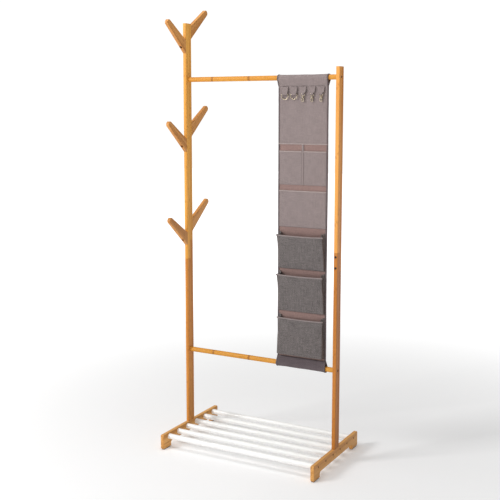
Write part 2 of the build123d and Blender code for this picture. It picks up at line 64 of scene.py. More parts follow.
# ---- studio --------------------------------------------------------------------------------------
# A pale seamless floor, a white surround and three soft boxes: a key at the front left, a weaker one
# in front and one overhead. The camera stands at the front right, a little under eye height.
def add(tree, kind, inputs=(), **settings):
    """Add a shader node, set its properties, then set or link its inputs by name or number."""
    made = tree.nodes.new("ShaderNode" + kind)
    for name, value in settings.items():
        setattr(made, name, value)
    for key, value in dict(inputs).items():
        if isinstance(value, bpy.types.NodeSocket):
            tree.links.new(value, made.inputs[key])
        else:
            made.inputs[key].default_value = value
    return made


def shade(red, green, blue):
    """A colour given as it looks on a screen, 0 to 255."""
    return (*(pow((c / 255 + 0.055) / 1.055, 2.4) for c in (red, green, blue)), 1.0)


def new_material(name, **finish):
    """Start a material. Each finish value goes straight onto the shader's socket of that name."""
    material = bpy.data.materials.new(name)
    material.use_nodes = True
    shader = material.node_tree.nodes["Principled BSDF"]
    for socket, value in finish.items():
        shader.inputs[socket.replace("_", " ")].default_value = value
    return material, material.node_tree, shader


centre = (cad_box[0] + cad_box[1]) / 2
camera_from_centre = Vector((1.6865, -3.1496, 0.4909))
camera_fall = 7.514                     # degrees below level
camera_turn = 28.809                    # degrees from straight ahead
camera = bpy.data.objects.new("camera", bpy.data.cameras.new("camera"))
bpy.context.scene.collection.objects.link(camera)
camera.data.sensor_width = 36
camera.data.lens = 64.35
camera.data.shift_y = -0.045
camera.location = centre + camera_from_centre
camera.rotation_euler = (radians(90 - camera_fall), 0, radians(camera_turn))
bpy.context.scene.camera = camera
bpy.context.scene.view_settings.view_transform = "Standard"

floor_size = 30.0
floor_mesh = bpy.data.meshes.new("floor")
half = floor_size / 2
floor_corners = [(-half, -half, 0), (half, -half, 0), (half, half, 0), (-half, half, 0)]
floor_mesh.from_pydata(floor_corners, [], [(0, 1, 2, 3)])
floor_sheet = bpy.data.objects.new("floor", floor_mesh)
bpy.context.scene.collection.objects.link(floor_sheet)
floor_paint, tree, shader = new_material("studio_floor", Roughness=0.9, Specular_IOR_Level=0.1)
shader.inputs["Base Color"].default_value = (0.86, 0.86, 0.86, 1)
shader.inputs["Emission Strength"].default_value = 1.0
where = add(tree, "TexCoord").outputs["Object"]
from_middle = add(tree, "VectorMath", {0: where}, operation="LENGTH").outputs["Value"]
glow_range = {0: from_middle, 1: 0.6, 2: 4.0, 3: 0.13, 4: 1.0}      # two distances, and the glow at each
lit = add(tree, "MapRange", glow_range, interpolation_type="SMOOTHSTEP").outputs[0]
glow = add(tree, "CombineColor", {0: lit, 1: lit, 2: lit})
tree.links.new(glow.outputs[0], shader.inputs["Emission Color"])
floor_mesh.materials.append(floor_paint)

world = bpy.data.worlds.new("studio")
bpy.context.scene.world = world
world.use_nodes = True
sky = world.node_tree.nodes["Background"]
seen = add(world.node_tree, "Background", {"Color": (1, 1, 1, 1), "Strength": 1.05})
from_camera = add(world.node_tree, "LightPath").outputs["Is Camera Ray"]
choice = add(world.node_tree, "MixShader", {0: from_camera, 1: sky.outputs[0], 2: seen.outputs[0]})
sky.inputs["Color"].default_value = (1.0, 1.0, 1.0, 1)
sky.inputs["Strength"].default_value = 0.3
world.node_tree.links.new(choice.outputs[0], world.node_tree.nodes["World Output"].inputs["Surface"])

soft_boxes = {                      # place, size, power
    "key": ((-2.6, -3.2, 2.9), 1.3, 110.0),
    "front": ((0.6, -4.2, 1.2), 2.4, 26.0),
    "overhead": ((-0.2, -0.2, 4.2), 2.4, 62.0),
}
for name, (place, size, power) in soft_boxes.items():
    lamp = bpy.data.objects.new(name, bpy.data.lights.new(name, "AREA"))
    lamp.data.size = size
    lamp.data.energy = power
    lamp.location = place
    lamp.rotation_euler = (Vector(place) - centre).to_track_quat("Z", "Y").to_euler()
    bpy.context.scene.collection.objects.link(lamp)


# ---- base rails and posts ------------------------------------------------------------------------
# Two boards on edge, shaped into feet at both ends, each carry a post spliced from two lengths.
# Bamboo strips glued side by side, planed, eased at the edges and sealed with a thin satin lacquer.
def calc(tree, operation, *values):
    """One step of arithmetic."""
    return add(tree, "Math", enumerate(values), operation=operation).outputs[0]


def spread(tree, value, low, high, out_low=0.0, out_high=1.0):
    """Carry a value smoothly from one range to another, and stop at the ends."""
    ends = {0: value, 1: low, 2: high, 3: out_low, 4: out_high}
    return add(tree, "MapRange", ends, interpolation_type="SMOOTHSTEP").outputs[0]


def blend(tree, share, first, second, how="MIX"):
    """Mix two colours."""
    parts = {0: share, 6: first, 7: second}
    return add(tree, "Mix", parts, data_type="RGBA", blend_type=how).outputs[2]


def speckle(tree, where, scale, detail=3.0, rough=0.55):
    """Noise of the scale given for each axis, 0 to 1."""
    stretched = add(tree, "VectorMath", {0: where, 1: scale}, operation="MULTIPLY").outputs[0]
    field = {"Vector": stretched, "Scale": 1.0, "Detail": detail, "Roughness": rough}
    return add(tree, "TexNoise", field).outputs[0]


def new_group(name, inputs, outputs):
    """Start a shader node group. Each socket is named, with its kind, and each input with its value."""
    group = bpy.data.node_groups.new(name, "ShaderNodeTree")
    for label, (kind, value) in inputs.items():
        socket = group.interface.new_socket(label, in_out="INPUT", socket_type="NodeSocket" + kind)
        socket.default_value = value
    for label, kind in outputs.items():
        group.interface.new_socket(label, in_out="OUTPUT", socket_type="NodeSocket" + kind)
    return group, group.nodes.new("NodeGroupInput").outputs, group.nodes.new("NodeGroupOutput").inputs


def place(tree, group, inputs):
    """Put a node group into a material."""
    made = tree.nodes.new("ShaderNodeGroup")
    made.node_tree = group
    for key, value in inputs.items():
        if isinstance(value, bpy.types.NodeSocket):
            tree.links.new(value, made.inputs[key])
        else:
            made.inputs[key].default_value = value
    return made.outputs


# worn_edges marks the eased edges of a board or a casting, broken up as handling leaves them
worn_edges, given, gives = new_group(
    "worn_edges",
    {"Where": ("Vector", (0, 0, 0)), "Reach": ("Float", 0.0015)},
    {"Mask": "Float"},
)
tree = worn_edges
rounded = add(tree, "Bevel", {"Radius": given["Reach"]}, samples=4).outputs[0]
flat_normal = add(tree, "NewGeometry").outputs["Normal"]
turned = add(tree, "VectorMath", {0: rounded, 1: flat_normal}, operation="DOT_PRODUCT").outputs["Value"]
edge = spread(tree, calc(tree, "SUBTRACT", 1.0, turned), 0.01, 0.22)
broken = spread(tree, speckle(tree, given["Where"], (90, 90, 90)), 0.3, 0.7, 0.35, 1.0)
tree.links.new(calc(tree, "MULTIPLY", edge, broken), gives["Mask"])

# bamboo_strips is the glued-up timber: strips in tones of their own, fibres, and the culm's nodes
bamboo_strips, given, gives = new_group(
    "bamboo_strips",
    {
        "Grain": ("Vector", (0, 0, 0)),
        "Pale": ("Color", (0.8, 0.6, 0.3, 1)),
        "Deep": ("Color", (0.6, 0.35, 0.12, 1)),
        "Node Brown": ("Color", (0.25, 0.12, 0.05, 1)),
        "Strip Width": ("Float", 0.0068),
        "Node Spacing": ("Float", 0.26),
        "Node Shift": ("Float", 0.0),
        "Node Strength": ("Float", 0.4),
    },
    {"Color": "Color", "Roughness": "Float", "Height": "Float"},
)
tree = bamboo_strips
axes = add(tree, "SeparateXYZ", {0: given["Grain"]}).outputs
across = [calc(tree, "FLOOR", calc(tree, "DIVIDE", axes[i], given["Strip Width"])) for i in (0, 1)]
strip = add(tree, "CombineXYZ", {0: across[0], 1: across[1]}).outputs[0]
strip_tone = add(tree, "TexWhiteNoise", {0: strip}, noise_dimensions="3D").outputs["Value"]
fibre = speckle(tree, given["Grain"], (900, 900, 6), 3)
streak = speckle(tree, given["Grain"], (260, 260, 3.2), 3)
cloudy = speckle(tree, given["Grain"], (7, 7, 2.2), 2)
frayed = calc(tree, "SUBTRACT", speckle(tree, given["Grain"], (420, 420, 30)), 0.5)
ragged = calc(tree, "MULTIPLY", frayed, 0.012)
stagger = calc(tree, "MULTIPLY", strip_tone, calc(tree, "MULTIPLY", given["Node Spacing"], 0.93))
shifted = calc(tree, "ADD", given["Node Shift"], stagger)
along = calc(tree, "ADD", calc(tree, "ADD", axes[2], ragged), shifted)
turn = calc(tree, "FRACT", calc(tree, "DIVIDE", along, given["Node Spacing"]))
off_node = calc(tree, "ABSOLUTE", calc(tree, "SUBTRACT", turn, 0.5))
from_node = calc(tree, "MULTIPLY", off_node, given["Node Spacing"])
scar = spread(tree, from_node, 0.0003, 0.0018, 0.8, 0.0)
halo = spread(tree, from_node, 0.002, 0.0075, 0.6, 0.0)
node_mark = calc(tree, "MULTIPLY", calc(tree, "MAXIMUM", scar, halo), given["Node Strength"])
tone = calc(tree, "MULTIPLY_ADD", strip_tone, 0.34, calc(tree, "MULTIPLY", streak, 0.42))
tone = calc(tree, "MULTIPLY_ADD", cloudy, 0.42, tone)
wood = blend(tree, spread(tree, tone, 0.28, 0.86), given["Deep"], given["Pale"])
wood = blend(tree, spread(tree, fibre, 0.34, 0.6, 0.14, 0.0), wood, given["Node Brown"])
wood = blend(tree, node_mark, wood, given["Node Brown"])
tree.links.new(wood, gives["Color"])
tree.links.new(spread(tree, fibre, 0.3, 0.7, 0.46, 0.34), gives["Roughness"])
relief = calc(tree, "MULTIPLY_ADD", fibre, 0.5, calc(tree, "MULTIPLY", node_mark, 0.8))
tree.links.new(calc(tree, "ADD", relief, calc(tree, "MULTIPLY", strip_tone, 0.25)), gives["Height"])


def bamboo(name, pale, deep, grain=(0, 0, 0), edge_brown=0.5, **timber):
    """Lacquered bamboo. The grain angles turn the board so that its fibres run upright."""
    lacquer = {"Coat_Weight": 0.03, "Coat_Roughness": 0.35, "Specular_IOR_Level": 0.16}
    material, tree, shader = new_material(name, **lacquer)
    where = add(tree, "TexCoord").outputs["Object"]
    upright = add(tree, "Mapping", {"Vector": where, "Rotation": grain}).outputs[0]
    brown = shade(126, 68, 22)
    tones = {"Pale": pale, "Deep": deep, "Node Brown": brown}
    strips = place(tree, bamboo_strips, {"Grain": upright, **tones, **timber})
    edges = place(tree, worn_edges, {"Where": where, "Reach": 0.0022})
    rubbed = calc(tree, "MULTIPLY", edges["Mask"], edge_brown)
    tree.links.new(blend(tree, rubbed, strips["Color"], brown), shader.inputs["Base Color"])
    tree.links.new(strips["Roughness"], shader.inputs["Roughness"])
    bump = add(tree, "Bump", {"Strength": 0.35, "Distance": 0.0004, "Height": strips["Height"]})
    tree.links.new(bump.outputs[0], shader.inputs["Normal"])
    return material


def dress(material, *names):
    """Give pieces of the frame their finish."""
    for name in names:
        piece = cad[name]
        if not piece.material_slots:
            piece.data.materials.append(None)
        for place_for_it in piece.material_slots:
            place_for_it.link = "OBJECT"
            place_for_it.material = material


along_y = (pi / 2, 0, 0)
along_x = (0, -pi / 2, 0)
timber_tones = {                        # pale and deep tone of each board, and which way its fibres run
    "left_base_rail": (shade(236, 180, 108), shade(196, 130, 62), along_y),
    "right_base_rail": (shade(236, 180, 108), shade(196, 130, 62), along_y),
    "left_post_lower": (shade(222, 152, 74), shade(182, 112, 42), (0, 0, 0)),
    "left_post_upper": (shade(240, 180, 88), shade(206, 140, 56), (0, 0, 0)),
    "right_post_lower": (shade(200, 128, 56), shade(160, 94, 32), (0, 0, 0)),
    "right_post_upper": (shade(236, 168, 88), shade(188, 114, 40), (0, 0, 0)),
}
for name, (pale, deep, grain) in timber_tones.items():
    dress(bamboo("bamboo_" + name, pale, deep, grain), name)


# ---- round rails ---------------------------------------------------------------------------------
# The top rail carries hangers and the organiser, and the lower rail keeps the posts apart.
# Each is turned from one length of bamboo, so its nodes show as brown rings, and bolted at both ends.
rail_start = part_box("top_rail")[0].x
first_ring = 0.124                      # from the rail's left end
ring_pitch = 0.170
ring_shift = ring_pitch / 2 - (rail_start + first_ring)
one_piece = 5.0                         # a strip wider than the rail, so that it is all one strip
rings = {"Node Spacing": ring_pitch, "Node Shift": ring_shift, "Node Strength": 0.95}
for name in ("top_rail", "lower_rail"):
    tones = (shade(232, 176, 84), shade(202, 136, 50))
    dress(bamboo("bamboo_" + name, *tones, along_x, **{"Strip Width": one_piece, **rings}), name)


# ---- hook arms -----------------------------------------------------------------------------------
# Six arms, three to the front and three to the back of the tall post, each sawn from a bamboo board
# along its own slope, rounded at the tip and bolted through a sunk hole near its foot.
arm_slope = radians(36.5)
for side, turned in (("front", arm_slope - pi / 2), ("back", pi / 2 - arm_slope)):
    tones = (shade(214, 154, 88), shade(176, 116, 58))
    arm_bamboo = bamboo("bamboo_arm_" + side, *tones, (turned, 0, 0), 0.6)
    dress(arm_bamboo, *(f"hook_{side}_{level}" for level in ("top", "middle", "bottom")))


# ---- shoe shelf ----------------------------------------------------------------------------------
# Six steel tubes lie between the base rails. They are powder-coated white, and a plastic plug pressed
# into each end takes the screw that comes in through the rail.
powder_coat, given, gives = new_group(
    "powder_coat",
    {
        "Where": ("Vector", (0, 0, 0)),
        "Paint": ("Color", (0.9, 0.9, 0.9, 1)),
        "Grime": ("Color", (0.5, 0.5, 0.5, 1)),
    },
    {"Color": "Color", "Roughness": "Float", "Height": "Float"},
)
tree = powder_coat
pebble = speckle(tree, given["Where"], (900, 900, 900), 2)
scuff = spread(tree, speckle(tree, given["Where"], (12, 60, 60), 4), 0.58, 0.74, 0.0, 0.35)
tree.links.new(blend(tree, scuff, given["Paint"], given["Grime"]), gives["Color"])
tree.links.new(spread(tree, pebble, 0.2, 0.8, 0.3, 0.42), gives["Roughness"])
tree.links.new(pebble, gives["Height"])


def coated(name, paint, grime, relief, **finish):
    """A coat of paint or a moulded skin, with its fine pebbling and light scuffs."""
    material, tree, shader = new_material(name, **finish)
    where = add(tree, "TexCoord").outputs["Object"]
    coat = place(tree, powder_coat, {"Where": where, "Paint": paint, "Grime": grime})
    tree.links.new(coat["Color"], shader.inputs["Base Color"])
    tree.links.new(coat["Roughness"], shader.inputs["Roughness"])
    bump = add(tree, "Bump", {"Strength": relief, "Distance": 0.0002, "Height": coat["Height"]})
    tree.links.new(bump.outputs[0], shader.inputs["Normal"])
    return material


coat_tones = (shade(250, 250, 248), shade(206, 204, 200))
white_coat = coated("white_powder_coat", *coat_tones, 0.25, Coat_Weight=0.2)
dress(white_coat, *(f"shoe_tube_{i}" for i in range(1, 7)))
dress(coated("moulded_plug", shade(226, 225, 222), shade(190, 188, 184), 0.5), "tube_plugs")
dress(coated("foot_pad_rubber", shade(38, 36, 36), shade(70, 66, 62), 1.0), "foot_pads")


# ---- bolts, screws, inserts and dowels -----------------------------------------------------------
# Hexagon-socket bolts and screws in blackened steel hold every joint. Zinc inserts in the boards take
# their threads, and two beech dowels keep each post square on its base rail.
worn_metal, given, gives = new_group(
    "worn_metal",
    {
        "Where": ("Vector", (0, 0, 0)),
        "Metal": ("Color", (0.6, 0.6, 0.6, 1)),
        "Bare": ("Color", (0.8, 0.8, 0.8, 1)),
        "Reach": ("Float", 0.0006),
        "Gloss": ("Float", 0.3),
    },
    {"Color": "Color", "Roughness": "Float", "Height": "Float"},
)
tree = worn_metal
edges = place(tree, worn_edges, {"Where": given["Where"], "Reach": given["Reach"]})
scratch = speckle(tree, given["Where"], (2600, 300, 1400), 4)
smear = speckle(tree, given["Where"], (160, 160, 160), 3)
tree.links.new(blend(tree, edges["Mask"], given["Metal"], given["Bare"]), gives["Color"])
smeared = spread(tree, smear, 0.3, 0.7, 0.0, 0.16)
tree.links.new(calc(tree, "ADD", given["Gloss"], smeared), gives["Roughness"])
tree.links.new(scratch, gives["Height"])


def metal(name, colour, bare, gloss, reach, **finish):
    """A small metal part, brighter along the edges that get handled."""
    material, tree, shader = new_material(name, **finish)
    where = add(tree, "TexCoord").outputs["Object"]
    plating = {"Metal": colour, "Bare": bare, "Gloss": gloss, "Reach": reach}
    skin = place(tree, worn_metal, {"Where": where, **plating})
    tree.links.new(skin["Color"], shader.inputs["Base Color"])
    tree.links.new(skin["Roughness"], shader.inputs["Roughness"])
    bump = add(tree, "Bump", {"Strength": 0.2, "Distance": 0.00005, "Height": skin["Height"]})
    tree.links.new(bump.outputs[0], shader.inputs["Normal"])
    return material


steel_tones = (shade(46, 42, 40), shade(120, 112, 104))
black_steel = metal("blackened_steel", *steel_tones, 0.38, 0.0006, Metallic=0.85)
dress(black_steel, "rail_bolts", "splice_bolts", "hook_bolts", "post_bolts", "tube_screws")
zinc = metal("zinc_alloy", shade(200, 190, 160), shade(226, 220, 200), 0.35, 0.0006, Metallic=1.0)
dress(zinc, "threaded_inserts")
beech_tones = (shade(226, 190, 146), shade(190, 146, 100))
dress(bamboo("beech_dowel", *beech_tones, (0, 0, 0), 0.2, **{"Node Strength": 0.0}), "post_dowels")


# ---- organiser: back panel -----------------------------------------------------------------------
# The organiser's backing runs from rail to rail and carries everything sewn to it. It is a woven
# lining of brownish yarn, which shows as strips between the pockets and over the whole back.
woven, given, gives = new_group(
    "woven",
    {
        "Cut": ("Vector", (0, 0, 0)),
        "Thread": ("Float", 0.0009),
        "Warp": ("Color", (0.4, 0.4, 0.4, 1)),
        "Weft": ("Color", (0.4, 0.4, 0.4, 1)),
        "Heather": ("Float", 0.3),
        "Slub": ("Float", 0.16),
    },
    {"Color": "Color", "Height": "Float"},
)
tree = woven
per_metre = calc(tree, "DIVIDE", pi, given["Thread"])
counted = add(tree, "VectorMath", {0: given["Cut"], 3: per_metre}, operation="SCALE")
turns = add(tree, "SeparateXYZ", {0: counted.outputs[0]}).outputs
wave = [calc(tree, "SINE", turns[i]) for i in (0, 1)]
crossing = calc(tree, "MULTIPLY", wave[0], wave[1])
over = calc(tree, "MULTIPLY_ADD", crossing, 0.5, 0.5)
warp_height = calc(tree, "MULTIPLY", calc(tree, "ABSOLUTE", wave[0]), over)
weft_height = calc(tree, "MULTIPLY", calc(tree, "ABSOLUTE", wave[1]), calc(tree, "SUBTRACT", 1.0, over))
yarn_height = calc(tree, "MAXIMUM", warp_height, weft_height)
warp_slub = speckle(tree, given["Cut"], (420, 26, 1), 3, 0.7)
weft_slub = speckle(tree, given["Cut"], (26, 420, 1), 3, 0.7)
on_top = calc(tree, "GREATER_THAN", warp_height, weft_height)
yarn = blend(tree, on_top, given["Weft"], given["Warp"])
slub = calc(tree, "MULTIPLY_ADD", warp_slub, 0.5, calc(tree, "MULTIPLY", weft_slub, 0.5))
pepper = speckle(tree, given["Cut"], (520, 520, 1), 3, 0.7)
drift = speckle(tree, given["Cut"], (26, 26, 1), 3)
slubbed = calc(tree, "MULTIPLY_ADD", spread(tree, slub, 0.36, 0.64, -1.0, 1.0), given["Slub"], 1.0)
# The dips between the yarns are painted darker and their crowns a touch lighter: painted shade and
# highlight of the weave.
light = calc(tree, "ADD", slubbed, spread(tree, yarn_height, 0.1, 0.7, -0.2, 0.04))
peppered = calc(tree, "MULTIPLY", calc(tree, "SUBTRACT", pepper, 0.5), given["Heather"])
drifted = calc(tree, "MULTIPLY", calc(tree, "SUBTRACT", drift, 0.5), 0.22)
light = calc(tree, "ADD", light, calc(tree, "ADD", peppered, drifted))
grey = add(tree, "CombineColor", {0: light, 1: light, 2: light}).outputs[0]
tree.links.new(blend(tree, 1.0, yarn, grey, "MULTIPLY"), gives["Color"])
tree.links.new(calc(tree, "ADD", yarn_height, calc(tree, "MULTIPLY", slub, 0.6)), gives["Height"])


def fabric(name, warp, weft, thread=0.0009, heather=0.3, relief=0.5, slub=0.1):
    """Matt woven cloth, laid on each piece by the way it was cut."""
    matt = {"Roughness": 0.9, "Specular_IOR_Level": 0.25, "Sheen_Weight": 0.12}
    material, tree, shader = new_material(name, **matt)
    cut = add(tree, "UVMap", uv_map="cut").outputs[0]
    threads = {"Thread": thread, "Warp": warp, "Weft": weft, "Heather": heather, "Slub": slub}
    yarn = place(tree, woven, {"Cut": cut, **threads})
    tree.links.new(yarn["Color"], shader.inputs["Base Color"])
    bump = add(tree, "Bump", {"Strength": relief, "Distance": 0.0003, "Height": yarn["Height"]})
    tree.links.new(bump.outputs[0], shader.inputs["Normal"])
    return material


def cloth(name, shape, width, length, thickness, material, cell=0.004, relax=0):
    """A sheet cut width by length and laid on a shape, which gives the place of each point of the cut.

    relax evens out the sheet's creases, a cell at a time, and leaves its border where it is.
    """
    columns = max(3, round(width / cell))
    rows = max(3, round(length / cell))
    across = [width * i / columns for i in range(columns + 1)]
    upward = [length * j / rows for j in range(rows + 1)]
    lay = [[Vector(shape(u, v)) for u in across] for v in upward]
    for _ in range(relax):
        eased = [list(row) for row in lay]
        for j in range(rows + 1):
            for i in range(1, columns):
                eased[j][i] = lay[j][i] / 2 + (lay[j][i - 1] + lay[j][i + 1]) / 4
        lay = eased
    form = bmesh.new()
    cut = form.loops.layers.uv.new("cut")
    points = [[form.verts.new(place_for_it) for place_for_it in row] for row in lay]
    for j in range(rows):
        for i in range(columns):
            corners = ((i, j), (i + 1, j), (i + 1, j + 1), (i, j + 1))
            face = form.faces.new([points[b][a] for a, b in corners])
            face.smooth = True
            for loop, (a, b) in zip(face.loops, corners):
                loop[cut].uv = (across[a], upward[b])
    mesh = bpy.data.meshes.new(name)
    form.to_mesh(mesh)
    form.free()
    piece = bpy.data.objects.new(name, mesh)
    bpy.context.scene.collection.objects.link(piece)
    mesh.materials.append(material)
    thick = piece.modifiers.new("thickness", "SOLIDIFY")
    thick.thickness = thickness
    thick.offset = 0
    bpy.context.view_layer.update()
    graph = bpy.context.evaluated_depsgraph_get()
    settled = bpy.data.meshes.new_from_object(piece.evaluated_get(graph))
    piece.modifiers.clear()
    piece.data = settled
    settled.name = name
    bpy.data.meshes.remove(mesh)
    return piece


def sew(name, shape, runs, lift, material, pitch=0.0034, gap=0.0011, thread=0.00027):
    """Rows of machine stitches on a shape, from one point of the cut to another.

    Each stitch is a short thread that rises from the cloth and goes back into it. lift is the distance
    from the shape to the face that is sewn, and a negative one sews the other face.
    """
    form = bmesh.new()
    sides = 5
    for start, end in runs:
        start, end = Vector(start), Vector(end)
        way = (end - start).normalized()
        count = max(1, int((end - start).length / pitch))
        step = (end - start) / count
        for k in range(count):
            low = start + step * k + way * gap / 2
            high = start + step * (k + 1) - way * gap / 2
            rings = []
            for share, rise in ((0.0, -1.2), (0.3, 0.5), (0.7, 0.5), (1.0, -1.2)):
                spot = low.lerp(high, share)
                here = Vector(shape(*spot))
                d = 0.0003
                right = Vector(shape(spot.x + d, spot.y)) - here
                up = Vector(shape(spot.x, spot.y + d)) - here
                normal = right.cross(up).normalized()
                onward = (right * way.x + up * way.y).normalized()
                beside = onward.cross(normal)
                middle = here + normal * (lift + thread * rise * (1 if lift > 0 else -1))
                ring = []
                for m in range(sides):
                    angle = 2 * pi * m / sides
                    around = normal * cos(angle) + beside * sin(angle)
                    ring.append(form.verts.new(middle + around * thread))
                rings.append(ring)
            for first, second in zip(rings, rings[1:]):
                for m in range(sides):
                    n = (m + 1) % sides
                    form.faces.new((first[m], first[n], second[n], second[m])).smooth = True
            form.faces.new(rings[0][::-1])
            form.faces.new(rings[-1])
    bmesh.ops.recalc_face_normals(form, faces=form.faces)
    mesh = bpy.data.meshes.new(name)
    form.to_mesh(mesh)
    form.free()
    mesh.materials.append(material)
    piece = bpy.data.objects.new(name, mesh)
    bpy.context.scene.collection.objects.link(piece)
    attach(piece, "organiser")
    return piece


def sewing_thread(name, colour, ridge_highlight):
    """Twisted polyester thread, the raised ridges of its twist painted lighter as a painted highlight."""
    material, tree, shader = new_material(name, Roughness=0.6, Sheen_Weight=0.15)
    where = add(tree, "TexCoord").outputs["Object"]
    twist = {"Vector": where, "Scale": 900.0, "Distortion": 1.0}
    ply = add(tree, "TexWave", twist, bands_direction="DIAGONAL")
    # the raised ridges of the twist take the lighter colour: a painted highlight
    tree.links.new(blend(tree, ply.outputs["Fac"], colour, ridge_highlight), shader.inputs["Base Color"])
    bump = add(tree, "Bump", {"Strength": 0.5, "Distance": 0.0001, "Height": ply.outputs["Fac"]})
    tree.links.new(bump.outputs[0], shader.inputs["Normal"])
    return material


def smooth_step(value):
    """0 below 0, 1 above 1, and an even curve between."""
    value = min(1.0, max(0.0, value))
    return value * value * (3 - 2 * value)


def sway(x, z):
    """How far the hanging cloth as a whole stands forward of the plane between the rails."""
    slow = noise.noise(Vector((x * 5.5, 0.3, z * 2.9)))
    quick = noise.noise(Vector((x * 19, 4.7, z * 11)))
    return 0.0022 * slow + 0.0006 * quick


def on_panel(x, z, forward):
    """A point of the organiser, a distance forward of the middle of its backing."""
    return Vector((x, -forward - sway(x, z), z))


back_low, back_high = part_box("back_panel")
sleeve_low, sleeve_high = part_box("top_sleeve")
left, right = sleeve_low.x, sleeve_high.x        # the organiser's two edges
layer = 0.0012                                   # one thickness of cloth
lining = fabric("brown_lining", shade(148, 121, 115), shade(132, 109, 104), 0.0008, 0.25)

panel_size = (back_high.x - back_low.x, back_high.z - back_low.z)


def back_shape(u, v):
    """The backing, flat between the rails but for the sway of hanging cloth."""
    return on_panel(back_low.x + u, back_low.z + v, 0)


back_cloth = cloth("back_cloth", back_shape, *panel_size, 2 * layer, lining, 0.005)
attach(back_cloth, "organiser")
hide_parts("back_panel")


# ---- organiser: front panel and flat pockets -----------------------------------------------------
# A plain panel covers the top of the front, and below it two small pockets and a wide one lie flat.
# Each is cut from grey canvas with its edges turned under, and is sewn round three sides.
canvas = fabric("grey_canvas", shade(144, 131, 129), shade(129, 116, 115), 0.0009, 0.3)
canvas_thread = sewing_thread("canvas_thread", shade(128, 116, 116), shade(160, 148, 147))
turned_edge = 0.009                    # width of an edge that is turned under
turned_step = 0.0007                   # how much it stands out
sewn_in = 0.0028                       # a row of stitches to the edge beside it


def fold(distance, width=turned_edge):
    """How much a turned edge stands out, at a distance from the edge."""
    return turned_step * smooth_step((width - distance) / 0.0016)


def flat_piece(name, node, slack, sides, hem_row):
    """A flat piece of canvas on the backing, with the rows that hold it down."""
    low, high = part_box(node)
    width, length = high.x - low.x, high.z - low.z

    def shape(u, v):
        edge_gap = min(u, width - u, v)
        gape = slack * sin(pi * u / width) ** 0.7 * smooth_step(v / length)
        crease = 0.00035 * noise.noise(Vector((low.x + u, 3.0, low.z + v)) * 34)
        lift = fold(length - v, 0.011) + 0.4 * fold(edge_gap, 0.006)
        return on_panel(low.x + u, low.z + v, 1.5 * layer + lift + gape + abs(crease))

    piece = cloth(name, shape, width, length, layer, canvas, 0.0035)
    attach(piece, "organiser")
    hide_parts(node)
    runs = [((sewn_in, sewn_in), (width - sewn_in, sewn_in))]
    if sides:
        runs += [((x, sewn_in), (x, length - 0.001)) for x in (sewn_in, width - sewn_in)]
    if hem_row:
        runs.append(((0.002, length - 0.0095), (width - 0.002, length - 0.0095)))
    seam = sew(name + "_stitches", shape, runs, -layer / 2, canvas_thread)
    taped_at = length if hem_row else 0.0
    mouths[name] = (lambda v, d=0.0: shape(v, abs(taped_at - d)), width, "grey_cloth")


mouths = {}                            # each edge that gets a light tape: its line, length and slot
flat_piece("front_cloth", "front_panel", 0.0, False, False)
flat_piece("small_pocket_left_cloth", "small_pocket_left", 0.0014, True, True)
flat_piece("small_pocket_right_cloth", "small_pocket_right", 0.0014, True, True)
flat_piece("wide_pocket_cloth", "wide_pocket", 0.0016, True, True)

divider_half = 0.0042                  # it covers the gap between the two small pockets
divider_low, divider_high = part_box("small_pocket_left")[0].z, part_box("front_panel")[0].z
divider_x = (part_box("small_pocket_left")[1].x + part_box("small_pocket_right")[0].x) / 2
divider_size = (2 * divider_half, divider_high - divider_low)


def divider_shape(u, v):
    """A strip that covers the gap between the two small pockets and runs on up to the front panel."""
    return on_panel(divider_x - divider_half + u, divider_low + v, 2.6 * layer)


divider = cloth("pocket_divider_cloth", divider_shape, *divider_size, layer * 0.8, canvas, 0.0028)
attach(divider, "organiser")
divider_runs = [((x, 0.002), (x, divider_size[1] - 0.002)) for x in (0.0014, divider_size[0] - 0.0014)]
divider_seam = sew("pocket_divider_stitches", divider_shape, divider_runs, -layer * 0.4, canvas_thread)


# ---- organiser: large pockets --------------------------------------------------------------------
# Three deep pockets of dark heathered cloth. Each front and its two gussets are one piece, folded at
# the corners, closed below, hemmed at the mouth and sewn to the backing beside the bindings.
heather = fabric("dark_heather", shade(120, 113, 111), shade(84, 78, 78), 0.0011, 0.75, 0.6, 0.3)
heather_thread = sewing_thread("heather_thread", shade(96, 90, 89), shade(132, 126, 124))
foot_curve = 0.004                     # height of the round under a pocket's foot
gusset_ear = 0.013                     # how much higher a gusset ends at the backing than in front
mouth_lean = 0.0042                    # how far the left end of a mouth leans out
mouth_droop = 0.0022


def reach_at(node, height):
    """How far forward a frame node stands near a height."""
    return -min(v.co.y for v in cad[node].data.vertices if abs(v.co.z - height) < 0.002)


